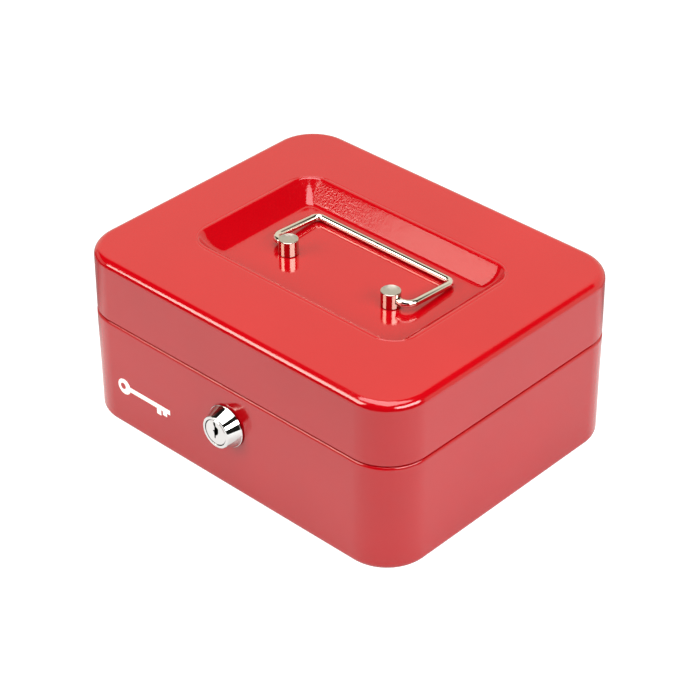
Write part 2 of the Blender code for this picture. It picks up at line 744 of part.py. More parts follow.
def lock_cam(looks, plug_pivot):
    front = BARREL_END - FIT_GAP
    cam_plate = prism(cam_outline(), front - CAM_THICKNESS, front, "lock_cam")
    cam = new_object("lock_cam", cam_plate, looks["steel"], plug_pivot)
    half = TAIL_SIDE / 2 + FIT_GAP
    cut(cam, block((-half, -half, 3 * BARREL_END), (half, half, 0), "square_hole"))
    return cam


def cam_screw(looks, plug_pivot):
    seat = TAIL_END - FIT_GAP
    back = seat - CAM_SCREW_HEAD
    edge = 0.0006
    profile = [
        (0, back),
        (CAM_SCREW_HEAD_RADIUS - edge, back),
        (CAM_SCREW_HEAD_RADIUS, back + edge),
        (CAM_SCREW_HEAD_RADIUS, seat),
        (CAM_SCREW_RADIUS, seat),
        (CAM_SCREW_RADIUS, TAIL_END + CAM_SCREW_DEPTH - FIT_GAP),
        (0, TAIL_END + CAM_SCREW_DEPTH - FIT_GAP),
    ]
    screw = new_object("cam_screw", lathe(profile, "cam_screw", 24), looks["steel"], plug_pivot)
    slot = (0.0004, 0.0030)
    cut(screw, block((-slot[0], -slot[1], 2 * back), (slot[0], slot[1], back + edge), "slot"))
    cut(screw, block((-slot[1], -slot[0], 2 * back), (slot[1], slot[0], back + edge), "cross_slot"))
    return screw


def lock(looks):
    place = (0, -DEPTH / 2, LOCK_HEIGHT)
    lock_base = pivot("lock_base", place, rotation=(math.pi / 2, 0, 0))
    plug_pivot = pivot("plug_pivot", (0, 0, 0), lock_base)
    lock_housing(looks, lock_base)
    washer_front = -SHEET - FIT_GAP
    nut_front = washer_front - LOCK_WASHER_THICKNESS - FIT_GAP
    lock_ring(looks, "lock_washer", disc(0.012, 40), washer_front, LOCK_WASHER_THICKNESS, lock_base)
    lock_ring(looks, "lock_nut", hexagon(LOCK_NUT_FLATS), nut_front, LOCK_NUT_THICKNESS, lock_base)
    lock_plug(looks, plug_pivot)
    for index in range(WAFER_COUNT):
        wafer(looks, index, plug_pivot)
        wafer_spring(looks, index, plug_pivot)
    lock_cam(looks, plug_pivot)
    cam_screw(looks, plug_pivot)


# ---- Strike ----
def lid_strike(looks, lid_pivot):
    """A bracket on the lid's front wall that steps in over the rim and hangs a slotted tab beside the cam."""
    front = -DEPTH / 2
    wall = front + LID_DRAFT + SHEET + FIT_GAP
    hang = front + STRIKE_HANG_Y
    half = STRIKE_WIDTH / 2
    sheet = STRIKE_SHEET
    step = STRIKE_STEP_HEIGHT
    tab = STRIKE_TAB_X
    place = -lid_pivot.location
    plate = block((-half, wall, step), (half, wall + sheet, STRIKE_PLATE_TOP), "lid_strike")
    strike = new_object("lid_strike", plate, looks["steel"], lid_pivot, place)
    join(strike, block((-half, wall, step - sheet / 2), (half, hang + sheet, step + sheet), "step"))
    join(strike, block((tab - sheet / 2, hang, STRIKE_FOOT), (half, hang + sheet, step + sheet / 2), "hanger"))
    tab_end = hang + STRIKE_TAB_LENGTH
    join(strike, block((tab - sheet / 2, hang, STRIKE_FOOT), (tab + sheet / 2, tab_end, step - sheet), "tab"))
    window_low = (tab - 3 * sheet, front + STRIKE_WINDOW_NEAR, STRIKE_WINDOW_LOW)
    window_high = (tab + 3 * sheet, front + STRIKE_WINDOW_FAR, STRIKE_WINDOW_HIGH)
    cut(strike, block(window_low, window_high, "finger_window"))
    bay_low = (tab + sheet, hang - SHEET, STRIKE_FOOT - SHEET)
    cut(strike, block(bay_low, (half + SHEET, hang + 2 * sheet, STRIKE_WINDOW_HIGH), "nut_bay"))
    return strike


# ---- Coin tray ----
def compartments():
    """(low corner, high corner, corner radii) of each compartment's mouth."""
    small, large = TRAY_CORNER, TRAY_OUTER_CORNER
    rear_row = ((-TRAY_EDGE_X, TRAY_CROSS_REAR), (TRAY_EDGE_X, TRAY_REAR), (large, large, small, small))
    rows = [rear_row]
    for side in SIDES.values():
        low, high = sorted((side * TRAY_MIDDLE_SPLIT, side * TRAY_INNER_SPLIT))
        rows.append(((low, TRAY_FRONT_INNER), (high, TRAY_CROSS_FRONT), [small] * 4))
        low, high = sorted((side * TRAY_OUTER_SPLIT, side * TRAY_EDGE_X))
        front_corners = (small, large) if side > 0 else (large, small)
        rows.append(((low, TRAY_FRONT), (high, TRAY_CROSS_FRONT), (small, small, *front_corners)))
    return rows


def tub(mouth, grow, bottom, top, name):
    """A scooped tub under a mouth, grown sideways by grow."""
    low, high, corners = mouth
    turn = (TRAY_DRAFT + TRAY_SCOOP, bottom + TRAY_SCOOP)
    profile = [(0.0, top)] + arc(turn, TRAY_SCOOP, math.pi, 1.5 * math.pi, EDGE_STEPS)
    rings = []
    for inset, z in reversed(profile):
        drawn = inset - grow
        radii = [max(corner - drawn, TRAY_LEAST_CORNER) for corner in corners]
        ring_low = (low[0] + drawn, low[1] + drawn)
        ring_high = (high[0] - drawn, high[1] - drawn)
        rings.append(cornered_ring(ring_low, ring_high, radii, z, TRAY_CORNER_STEPS))
    return loft(rings, name)


def coin_tray(looks):
    plate = TRAY_TOP - TRAY_WALL
    width, depth = WIDTH - 2 * TRAY_INSET, DEPTH - 2 * TRAY_INSET
    corner = CORNER_RADIUS - TRAY_INSET
    rings = [rounded_ring(width, depth, corner, z) for z in (plate, TRAY_TOP)]
    tray = new_object("coin_tray", loft(rings, "coin_tray"), looks["plastic"])
    for mouth in compartments():
        join(tray, tub(mouth, TRAY_WALL, TRAY_BOTTOM, TRAY_TOP - TRAY_WALL / 2, "tub"))
    for side in SIDES.values():
        near, far = sorted((side * (TAB_X - TRAY_WALL), side * TAB_X))
        join(tray, block((near, -TAB_HALF_LENGTH, plate), (far, TAB_HALF_LENGTH, TAB_TOP), "finger_tab"))
    for mouth in compartments():
        cut(tray, tub(mouth, 0.0, TRAY_BOTTOM + TRAY_WALL, TRAY_TOP + SHEET, "hollow"))
    half = LOCK_BAY_HALF
    cut(tray, block((-half, -DEPTH, TRAY_BOTTOM), (half, LOCK_BAY_REAR, TAB_TOP), "lock_bay"))
    for side in SIDES.values():
        cut(tray, hinge_notch(side, plate - SHEET, TRAY_TOP + SHEET, "leaf_notch"))
    return tray


def main():
    clear_scene()
    looks = make_materials()
    body_shell(looks)
    lid_pivot = pivot("lid_pivot", (0, DEPTH / 2 + HINGE_AXIS_OUT, HINGE_AXIS_Z))
    lid_shell(looks, lid_pivot)
    handle_set(looks, lid_pivot)
    for name, side in SIDES.items():
        hinge(looks, name, side)
    lock(looks)
    lid_strike(looks, lid_pivot)
    coin_tray(looks)


main()
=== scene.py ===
"""Looks of the steel cash box: smooth painted shells, plated fittings and a plain soft studio."""

import json
import math

import bmesh
import bpy
from mathutils import Matrix, Vector


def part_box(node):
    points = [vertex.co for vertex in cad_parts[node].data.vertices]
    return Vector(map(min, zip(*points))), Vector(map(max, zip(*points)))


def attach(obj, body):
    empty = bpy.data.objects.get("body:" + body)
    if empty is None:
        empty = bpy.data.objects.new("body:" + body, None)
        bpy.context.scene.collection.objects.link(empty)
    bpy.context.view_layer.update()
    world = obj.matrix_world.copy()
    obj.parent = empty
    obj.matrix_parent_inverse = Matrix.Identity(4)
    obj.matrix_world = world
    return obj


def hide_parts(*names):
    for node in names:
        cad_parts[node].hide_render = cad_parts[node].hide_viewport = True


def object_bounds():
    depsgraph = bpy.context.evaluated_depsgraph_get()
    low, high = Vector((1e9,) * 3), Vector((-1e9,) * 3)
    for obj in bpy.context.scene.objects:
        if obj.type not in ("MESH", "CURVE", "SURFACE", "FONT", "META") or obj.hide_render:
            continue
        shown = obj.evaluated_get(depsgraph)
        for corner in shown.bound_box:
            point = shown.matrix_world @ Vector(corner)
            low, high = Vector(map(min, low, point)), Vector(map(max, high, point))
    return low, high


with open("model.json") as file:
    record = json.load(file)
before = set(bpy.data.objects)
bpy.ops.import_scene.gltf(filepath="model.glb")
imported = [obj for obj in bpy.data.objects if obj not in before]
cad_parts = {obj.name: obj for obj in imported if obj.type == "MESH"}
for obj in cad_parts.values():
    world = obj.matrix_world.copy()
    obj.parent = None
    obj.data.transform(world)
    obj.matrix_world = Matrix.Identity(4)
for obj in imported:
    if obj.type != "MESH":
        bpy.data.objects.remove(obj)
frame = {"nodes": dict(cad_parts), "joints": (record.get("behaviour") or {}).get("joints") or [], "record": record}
CAD_LOW, CAD_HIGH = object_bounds()
NODES = frame["nodes"]
JOINTS = {joint["name"]: joint for joint in frame["joints"]}

# ---- Sizes, read from the frame where a node gives them ----
BODY_LOW, BODY_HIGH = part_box("body_shell")
LID_LOW, LID_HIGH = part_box("lid_shell")
WIDTH = BODY_HIGH.x - BODY_LOW.x
DEPTH = BODY_HIGH.y - BODY_LOW.y
HEIGHT = LID_HIGH.z
SEAM_HEIGHT = LID_LOW.z
RIM_TOP = BODY_HIGH.z
SHEET = 0.001
CORNER_RADIUS = 0.0225
FIT_GAP = 0.0003
CORNER_STEPS = 20
EDGE_STEPS = 8
ROUND_STEPS = 72

FLOOR_EDGE_RADIUS = 0.0035
SHOULDER_TOP = SEAM_HEIGHT - 0.0009
SHOULDER_RADIUS = 0.0009
SHOULDER_SWELL = 0.0025
SHOULDER_LEAN = math.radians(33)
RIM_INSET = 0.0016
RIM_FILLET = 0.0004
LID_DRAFT = 0.0004
LID_INSET = 0.0002
LID_EDGE_RADIUS = 0.0042
WELL_WIDTH = 0.1325
WELL_DEPTH = 0.0825
WELL_CENTRE_Y = 0.00175
WELL_CORNER_TOP = 0.0128
WELL_CORNER_FOOT = 0.0045
WELL_CORNER_PINCH = 0.0042
WELL_FLOOR = 0.0805
WELL_SLOPE = math.radians(45)
WELL_TOP_RADIUS = 0.0025
WELL_FOOT_RADIUS = 0.003
WELL_WALL_STEPS = 6
RIM_LINE_WIDTH = 0.0014
RIM_LINE_DEPTH = 0.00013
RIM_LINE_LAND = 0.0002
HEM_ROUND = 0.00022
HEM_STEPS = 3
RIM_LINE_STEPS = 8
SHARP_ANGLE = 35

HANDLE_PIVOT = Vector(JOINTS["handle_pivot"]["pos_m"])
WIRE_RADIUS = 0.00175
ARM_X = 0.043
REACH = 0.0311
NEAR_BEND = 0.0050
FAR_BEND = 0.0036
WIRE_END_X = 0.0343
WIRE_SIDES = 28
WIRE_END_SHRINK = 0.82

POST_X = 0.0323
POST_RADIUS = 0.0048
POST_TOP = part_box("handle_post_left")[1].z
POST_DISH = 0.00065
SPIGOT_RADIUS = 0.0024
SPIGOT_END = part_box("handle_post_left")[0].z
SPIGOT_PITCH = 0.0005
SPIGOT_THREAD = 0.00022
WIRE_HOLE_RADIUS = 0.0020
WIRE_HOLE_END_X = 0.0339

HINGE_AXIS = Vector(JOINTS["lid_hinge"]["pos_m"])
HINGE_X = 0.062
HINGE_HALF = 0.016
KNUCKLE_RADIUS = 0.0026
NOTCH_MARGIN = 0.001
NOTCH_CLEARANCE = 0.0006

LOCK_CENTRE = Vector(JOINTS["lock_turn"]["pos_m"])
LOCK_FACE = 0.0076
CONE_BASE_RADIUS = 0.0107
CONE_FACE_RADIUS = 0.0081
CONE_LIP = 0.0008
CONE_BEAD = 0.00045
BARREL_RADIUS = 0.009
BARREL_FLAT = 0.0077
BARREL_END = -0.0105
PLUG_BORE = 0.0067
GROOVE_HALF = 0.0036
GROOVE_DEPTH = 0.0076
WAFER_ROOM = 0.0008
THREAD_PITCH = 0.001
THREAD_DEPTH = 0.0004

INK = 0.00003  # thickness of the print

# ---- Paint ----
PEEL_SCALE = 620
PEEL_HEIGHT = 0.000020
WAVE_HEIGHT = 0.000025
GRAIN_SCALE = 1050
GRAIN_HEIGHT = 0.000055
GRAIN_FADE = (-0.040, -0.005)
GRAIN_LEAST = 0.15
GRAIN_EDGE = (0.0006, 0.0016)
TOOL_MARK_RATE = 14000.0

# ---- Studio ----
SWEEP_MIDDLE = (-0.259, 0.966, 0.0)
SWEEP_SIDES = (0.25, 0.42)
SWEEP_LEAN = (-0.379, 0.411, -0.829)
SWEEP_TOP = (-0.38, -0.26)
SWEEP_LIGHT = 0.99
ROOM_LIGHT = 0.015
SWEEP_COLOUR = (1.0, 0.99, 0.84, 1.0)
WARM = (1.0, 0.955, 0.85)
FLOOR_RADIUS = 0.5
# The floor's glow: painted light that stands in for light on the floor.
FLOOR_GLOW = 0.44
# The next three place a painted shadow on the floor behind the box: its direction, where it begins and ends, and
# its darkest share.
FLOOR_BEHIND = (-0.678, 0.735, 0.0)
FLOOR_SHADOW_SPAN = (0.040, 0.080)
FLOOR_SHADOW_LEAST = 0.3
FLOOR_ALBEDO = 0.45
CAMERA_ANGLES = (43.15, 34.828, 0.174)
CAMERA_DISTANCE = 1.09047
CAMERA_TARGET = (0.008366, -0.007455, 0.045)
CAMERA_LENS = 119.93


# ---- Mesh helpers ----
def arc(centre, radius, start, end, steps):
    """Points of an arc in a plane, ends included."""
    return [
        (
            centre[0] + radius * math.cos(start + (end - start) * step / steps),
            centre[1] + radius * math.sin(start + (end - start) * step / steps),
        )
        for step in range(steps + 1)
    ]


def rounded_ring(width, depth, radius, z, centre_y=0.0):
    """A rounded rectangle at height z, centred on X, anticlockwise seen from above."""
    points = []
    for quarter, (side_x, side_y) in enumerate(((1, 1), (-1, 1), (-1, -1), (1, -1))):
        corner = (side_x * (width / 2 - radius), centre_y + side_y * (depth / 2 - radius))
        start = quarter * math.pi / 2
        corner_points = arc(corner, radius, start, start + math.pi / 2, CORNER_STEPS)
        points += [Vector((x, y, z)) for x, y in corner_points]
    return points


def finish_mesh(bm, name, sharp=SHARP_ANGLE):
    bmesh.ops.recalc_face_normals(bm, faces=bm.faces)
    mesh = bpy.data.meshes.new(name)
    bm.to_mesh(mesh)
    bm.free()
    mesh.shade_smooth()
    mesh.set_sharp_from_angle(angle=math.radians(sharp))
    return mesh


def loft(rings, name):
    """A closed solid through rings of equal length."""
    bm = bmesh.new()
    rows = [[bm.verts.new(point) for point in ring] for ring in rings]
    count = len(rows[0])
    for low, high in zip(rows, rows[1:]):
        for i in range(count):
            j = (i + 1) % count
            bm.faces.new((low[i], low[j], high[j], high[i]))
    bm.faces.new(list(reversed(rows[0])))
    bm.faces.new(rows[-1])
    return finish_mesh(bm, name)


def prism(outline, low, high, name, place=None):
    """A flat outline pushed along Z from low to high, then placed by a matrix."""
    bm = bmesh.new()
    bottom = [bm.verts.new((x, y, low)) for x, y in outline]
    top = [bm.verts.new((x, y, high)) for x, y in outline]
    for i in range(len(outline)):
        j = (i + 1) % len(outline)
        bm.faces.new((bottom[i], bottom[j], top[j], top[i]))
    bm.faces.new(list(reversed(bottom)))
    bm.faces.new(top)
    if place is not None:
        bmesh.ops.transform(bm, matrix=place, verts=bm.verts)
    return finish_mesh(bm, name)


def block(low, high, name, place=None):
    outline = ((low[0], low[1]), (high[0], low[1]), (high[0], high[1]), (low[0], high[1]))
    return prism(outline, low[2], high[2], name, place)


def disc(radius, steps=ROUND_STEPS, centre=(0.0, 0.0)):
    return arc(centre, radius, 0, 2 * math.pi, steps)[:-1]


def lathe(profile, name, place=None, steps=ROUND_STEPS):
    """A solid turned about Z from (radius, height) points that start and end on the axis."""
    bm = bmesh.new()
    rows = []
    for radius, height in profile:
        if radius == 0:
            rows.append([bm.verts.new((0, 0, height))] * steps)
        else:
            rows.append([bm.verts.new((x, y, height)) for x, y in disc(radius, steps)])
    for low, high in zip(rows, rows[1:]):
        for i in range(steps):
            j = (i + 1) % steps
            bm.faces.new(list(dict.fromkeys((low[i], low[j], high[j], high[i]))))
    if place is not None:
        bmesh.ops.transform(bm, matrix=place, verts=bm.verts)
    return finish_mesh(bm, name)


def new_object(name, data):
    obj = bpy.data.objects.new(name, data)
    bpy.context.scene.collection.objects.link(obj)
    return obj


def carve(obj, mesh, operation="DIFFERENCE"):
    """Cuts or joins a helper mesh into an object for good."""
    helper = new_object("helper", mesh)
    modifier = obj.modifiers.new("carve", "BOOLEAN")
    modifier.operation = operation
    modifier.solver = "EXACT"
    modifier.object = helper
    bpy.context.view_layer.update()
    evaluated = obj.evaluated_get(bpy.context.evaluated_depsgraph_get())
    made = bpy.data.meshes.new_from_object(evaluated)
    obj.modifiers.clear()
    obj.data = made
    bpy.data.objects.remove(helper)


def weigh_normals(obj, sharp=SHARP_ANGLE):
    """Flat faces keep their flat shading next to small fillets."""
    obj.data.shade_smooth()
    obj.data.set_sharp_from_angle(angle=math.radians(sharp))
    modifier = obj.modifiers.new("weighted_normals", "WEIGHTED_NORMAL")
    modifier.keep_sharp = True
    modifier.weight = 100


def place_piece(obj, body, slot, look, *replaced):
    """A piece in its place: its body, its finish and the CAD nodes that it stands for."""
    obj.data.materials.clear()
    obj.data.materials.append(look)
    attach(obj, body)
    if replaced:
        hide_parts(*replaced)
    return obj


# ---- Node helpers for materials ----
class Look:
    """A Principled material and short ways to wire its nodes."""

    def __init__(self, name):
        self.material = bpy.data.materials.new(name)
        self.material.use_nodes = True
        self.tree = self.material.node_tree
        self.shader = self.tree.nodes["Principled BSDF"]
        self.coords = self.node("ShaderNodeTexCoord").outputs["Object"]

    def node(self, kind, **settings):
        made = self.tree.nodes.new(kind)
        for key, value in settings.items():
            setattr(made, key, value)
        return made

    def link(self, source, target):
        self.tree.links.new(source, target)

    def set(self, **values):
        for key, value in values.items():
            self.shader.inputs[key.replace("_", " ")].default_value = value

    def axes(self, vector):
        """The X, Y and Z of a vector, by name."""
        made = self.node("ShaderNodeSeparateXYZ")
        self.link(vector, made.inputs["Vector"])
        return made.outputs

    def stretched(self, scale):
        mapping = self.node("ShaderNodeMapping")
        mapping.inputs["Scale"].default_value = scale
        self.link(self.coords, mapping.inputs["Vector"])
        return mapping.outputs["Vector"]

    def noise(self, scale, detail, roughness=0.5, coords=None):
        made = self.node("ShaderNodeTexNoise")
        made.inputs["Scale"].default_value = scale
        made.inputs["Detail"].default_value = detail
        made.inputs["Roughness"].default_value = roughness
        self.link(coords or self.coords, made.inputs["Vector"])
        return made.outputs["Fac"]

    def ramp(self, source, stops):
        """A colour ramp. stops are (place, colour or grey)."""
        made = self.node("ShaderNodeValToRGB")
        elements = made.color_ramp.elements
        while len(elements) < len(stops):
            elements.new(0.5)
        for element, (place, value) in zip(elements, stops):
            element.position = place
            colour = value if isinstance(value, tuple) else (value, value, value)
            element.color = (*colour, 1.0)
        self.link(source, made.inputs["Fac"])
        return made.outputs["Color"]

    def span(self, source, low, high, out_low, out_high):
        made = self.node("ShaderNodeMapRange")
        made.inputs["From Min"].default_value = low
        made.inputs["From Max"].default_value = high
        made.inputs["To Min"].default_value = out_low
        made.inputs["To Max"].default_value = out_high
        self.link(source, made.inputs["Value"])
        return made.outputs["Result"]

    def maths(self, operation, first, second=None):
        made = self.node("ShaderNodeMath", operation=operation)
        for socket, value in zip(made.inputs, (first, second)):
            if value is None:
                continue
            if isinstance(value, (int, float)):
                socket.default_value = value
            else:
                self.link(value, socket)
        return made.outputs["Value"]

    def mix(self, factor, first, second):
        made = self.node("ShaderNodeMix", data_type="RGBA")
        for name, value in (("Factor", factor), ("A", first), ("B", second)):
            sockets = [s for s in made.inputs if s.name == name and s.enabled]
            socket = sockets[0]
            if isinstance(value, tuple):
                socket.default_value = (*value, 1.0)
            elif isinstance(value, (int, float)):
                socket.default_value = value
            else:
                self.link(value, socket)
        return [s for s in made.outputs if s.name == "Result" and s.enabled][0]

    def bump(self, height, distance, below=None):
        made = self.node("ShaderNodeBump")
        made.inputs["Distance"].default_value = distance
        self.link(height, made.inputs["Height"])
        if below is not None:
            self.link(below, made.inputs["Normal"])
        return made.outputs["Normal"]

    def wire(self, **sources):
        for key, source in sources.items():
            self.link(source, self.shader.inputs[key.replace("_", " ")])
        return self


# ---- Materials ----
def red_powder_coat():
    """Glossy powder coat: fine orange peel over a saturated red, coarse at the left of the well's walls."""
    look = Look("red_powder_coat")
    look.set(IOR=1.56)
    mottle = look.noise(18, 3)
    colour = look.ramp(mottle, [(0.3, (0.320, 0.0003, 0.0026)), (0.7, (0.345, 0.0006, 0.0034))])
    gloss = look.span(look.noise(60, 3), 0.3, 0.7, 0.085, 0.135)
    peel = look.bump(look.noise(PEEL_SCALE, 1.5, 0.45), PEEL_HEIGHT)
    wave = look.bump(look.noise(160, 1, 0.4), WAVE_HEIGHT, below=peel)
    place = look.axes(look.coords)
    above_foot = look.span(place["Z"], *(WELL_FLOOR + edge for edge in GRAIN_EDGE), 0.0, 1.0)
    below_rim = look.span(place["Z"], *(HEIGHT - edge for edge in GRAIN_EDGE), 0.0, 1.0)
    inside_x = look.maths("LESS_THAN", look.maths("ABSOLUTE", place["X"]), WELL_WIDTH / 2)
    from_middle = look.maths("ABSOLUTE", look.maths("SUBTRACT", place["Y"], WELL_CENTRE_Y))
    inside_y = look.maths("LESS_THAN", from_middle, WELL_DEPTH / 2)
    wall = look.maths("MULTIPLY", above_foot, below_rim)
    drawn = look.maths("MULTIPLY", wall, look.maths("MULTIPLY", inside_x, inside_y))
    rough = look.span(place["X"], *GRAIN_FADE, 1.0, GRAIN_LEAST)
    amount = look.maths("MULTIPLY", drawn, rough)
    grain = look.maths("MULTIPLY", look.noise(GRAIN_SCALE, 2, 0.5), amount)
    coarse = look.bump(grain, GRAIN_HEIGHT, below=wave)
    return look.wire(Base_Color=colour, Roughness=gloss, Normal=coarse).material


def bright_plate(name, tint, dullest):
    """Bright plating with faint polishing lines and a little haze."""
    look = Look(name)
    look.set(Metallic=1.0)
    haze = look.noise(90, 4)
    colour = look.ramp(haze, [(0.35, tuple(c * 0.95 for c in tint)), (0.65, tint)])
    gloss = look.span(look.noise(300, 3), 0.3, 0.7, dullest / 2, dullest)
    lines = look.noise(900, 2, 0.6, look.stretched((1.0, 0.12, 1.0)))
    return look.wire(Base_Color=colour, Roughness=gloss, Normal=look.bump(lines, 0.0000012)).material


def turned_nickel():
    """Nickel plate: polished sides and a turned, satin top with faint circular tool marks. The top is coloured
    darker than the sides, as painted shade.
    """
    look = Look("turned_nickel")
    look.set(Metallic=1.0)
    normal = look.axes(look.node("ShaderNodeNewGeometry").outputs["Normal"])
    flat = look.span(look.maths("ABSOLUTE", normal["Z"]), 0.85, 0.98, 0.0, 1.0)
    place = look.axes(look.coords)
    across = look.maths("SUBTRACT", look.maths("ABSOLUTE", place["X"]), POST_X)
    along = look.maths("SUBTRACT", place["Y"], HANDLE_PIVOT.y)
    squares = look.maths("ADD", look.maths("POWER", across, 2.0), look.maths("POWER", along, 2.0))
    radius = look.maths("SQRT", squares)
    rings = look.maths("SINE", look.maths("MULTIPLY", radius, TOOL_MARK_RATE))
    grain = look.noise(700, 3, 0.6)
    satin = look.span(grain, 0.3, 0.7, 0.24, 0.36)
    polished = look.span(grain, 0.3, 0.7, 0.05, 0.10)
    gloss = look.maths("ADD", look.maths("MULTIPLY", satin, flat), polished)
    # Painted shade: the top gets a darker colour than the sides, standing in for the dimmer look of the dished
    # top.
    colour = look.mix(flat, (0.56, 0.48, 0.40), (0.47, 0.43, 0.38))
    marks = look.maths("MULTIPLY", look.maths("ADD", rings, grain), flat)
    return look.wire(Base_Color=colour, Roughness=gloss, Normal=look.bump(marks, 0.000004)).material


def zinc_plate():
    """Bluish zinc on stamped steel, with a fine spangle."""
    look = Look("zinc_plate")
    look.set(Metallic=1.0)
    cells = look.node("ShaderNodeTexVoronoi")
    cells.inputs["Scale"].default_value = 700
    look.link(look.coords, cells.inputs["Vector"])
    spangle = cells.outputs["Distance"]
    cloud = look.noise(120, 4)
    colour = look.ramp(cloud, [(0.3, (0.50, 0.51, 0.53)), (0.7, (0.66, 0.67, 0.69))])
    gloss = look.span(look.maths("ADD", cloud, look.maths("MULTIPLY", spangle, 0.5)), 0.4, 1.0, 0.26, 0.44)
    return look.wire(Base_Color=colour, Roughness=gloss, Normal=look.bump(spangle, 0.000006)).material


def stamped_brass():
    look = Look("stamped_brass")
    look.set(Metallic=1.0)
    cloud = look.noise(260, 4)
    colour = look.ramp(cloud, [(0.3, (0.66, 0.44, 0.16)), (0.7, (0.80, 0.58, 0.26))])
    gloss = look.span(cloud, 0.3, 0.7, 0.24, 0.40)
    lines = look.noise(1500, 2, 0.6, look.stretched((1.0, 1.0, 0.1)))
    return look.wire(Base_Color=colour, Roughness=gloss, Normal=look.bump(lines, 0.000003)).material


def black_plastic():
    """Injection-moulded tray plastic with a fine spark-eroded grain."""
    look = Look("black_plastic")
    look.set(IOR=1.49)
    cloud = look.noise(40, 3)
    colour = look.ramp(cloud, [(0.3, (0.012, 0.012, 0.013)), (0.7, (0.020, 0.020, 0.022))])
    gloss = look.span(look.noise(500, 3), 0.3, 0.7, 0.36, 0.52)
    grain = look.bump(look.noise(2600, 2, 0.6), 0.000018)
    return look.wire(Base_Color=colour, Roughness=gloss, Normal=grain).material


def white_ink():
    """Screen-printed ink, slightly uneven over the coat."""
    look = Look("white_ink")
    look.set(IOR=1.5)
    cloud = look.noise(900, 4)
    colour = look.ramp(cloud, [(0.25, (0.80, 0.78, 0.78)), (0.6, (0.93, 0.92, 0.92))])
    gloss = look.span(cloud, 0.3, 0.7, 0.28, 0.42)
    peel = look.bump(look.noise(PEEL_SCALE, 1.5, 0.45), PEEL_HEIGHT)
    return look.wire(Base_Color=colour, Roughness=gloss, Normal=peel).material


PAINT = red_powder_coat()
CHROME = bright_plate("polished_chrome", (0.60, 0.60, 0.595), 0.08)
BAIL_NICKEL = bright_plate("bail_nickel", (0.74, 0.675, 0.60), 0.15)
NICKEL = turned_nickel()
ZINC = zinc_plate()
BRASS = stamped_brass()
PLASTIC = black_plastic()
WHITE_INK = white_ink()


# ---- Shells ----
def shell_ring(inset, z):
    return rounded_ring(WIDTH - 2 * inset, DEPTH - 2 * inset, CORNER_RADIUS - inset, z)


def body_profile():
    """(inset, height) from the underside, up the outside, over the rolled rim and down the inside."""
    edge = FLOOR_EDGE_RADIUS
    quarter = math.pi / 2
    lean = SHOULDER_LEAN
    inward = SHOULDER_SWELL * (1 - math.cos(lean)) + SHOULDER_RADIUS * math.cos(lean)
    shoulder = (inward, SHOULDER_TOP - SHOULDER_RADIUS)
    swell = (SHOULDER_SWELL, shoulder[1] - (SHOULDER_SWELL - SHOULDER_RADIUS) * math.sin(lean))
    fillet = (RIM_INSET - RIM_FILLET, SHOULDER_TOP + RIM_FILLET)
    path = arc((edge, edge), edge, -quarter, -2 * quarter, EDGE_STEPS)
    path += arc(swell, SHOULDER_SWELL, 2 * quarter, 2 * quarter - lean, EDGE_STEPS)
    path += arc(shoulder, SHOULDER_RADIUS, 2 * quarter - lean, quarter, EDGE_STEPS)[1:]
    path += arc(fillet, RIM_FILLET, -quarter, 0, 3)[1:]
    path += arc((RIM_INSET + SHEET / 2, RIM_TOP - SHEET / 2), SHEET / 2, math.pi, 0, 8)
    path += arc(fillet, RIM_FILLET + SHEET, 0, -quarter, EDGE_STEPS)
    path += [(SHEET, swell[1])]
    path += arc((edge, edge), edge - SHEET, 2 * quarter, 3 * quarter, EDGE_STEPS)
    return path


def hinge_notch(side, low, high, name):
    half = HINGE_HALF + NOTCH_MARGIN
    near = DEPTH / 2 - RIM_INSET - SHEET - NOTCH_CLEARANCE
    middle = side * HINGE_X
    return block((middle - half, near, low), (middle + half, DEPTH / 2 + SHEET, high), name)


def double_d(radius, flat, steps=24):
    half = math.asin(flat / radius)
    right = arc((0, 0), radius, -half, half, steps)
    left = arc((0, 0), radius, math.pi - half, math.pi + half, steps)
    return right + left


LOCK_PLACE = Matrix.Translation(LOCK_CENTRE) @ Matrix.Rotation(math.pi / 2, 4, "X")


def body_skin():
    skin = new_object("body_skin", loft([shell_ring(*point) for point in body_profile()], "body_skin"))
    notch_floor = HINGE_AXIS.z - KNUCKLE_RADIUS - NOTCH_CLEARANCE
    for side in (-1, 1):
        carve(skin, hinge_notch(side, notch_floor, RIM_TOP + SHEET, "notch"))
    hole = double_d(BARREL_RADIUS + FIT_GAP, BARREL_FLAT + FIT_GAP)
    carve(skin, prism(hole, -3 * SHEET, 2 * SHEET, "lock_hole", LOCK_PLACE))
    weigh_normals(skin)
    return place_piece(skin, "box", "red_paint", PAINT, "body_shell")


def well_run():
    radii = WELL_TOP_RADIUS + WELL_FOOT_RADIUS
    drop = HEIGHT - WELL_FLOOR - radii * (1 - math.cos(WELL_SLOPE))
    return radii * math.sin(WELL_SLOPE) + drop / math.tan(WELL_SLOPE)


def well_profile(offset):
    """(inset, height) down the well's wall, on the face that lies offset below the outer one."""
    quarter = math.pi / 2
    top = (0.0, HEIGHT - WELL_TOP_RADIUS)
    foot = (well_run(), WELL_FLOOR + WELL_FOOT_RADIUS)
    down = arc(top, WELL_TOP_RADIUS - offset, quarter, quarter - WELL_SLOPE, EDGE_STEPS)
    rise = arc(foot, WELL_FOOT_RADIUS + offset, -quarter - WELL_SLOPE, -quarter, EDGE_STEPS)
    top_end, foot_start = Vector(down[-1]), Vector(rise[0])
    wall = [top_end.lerp(foot_start, step / WELL_WALL_STEPS) for step in range(1, WELL_WALL_STEPS)]
    return down + wall + rise


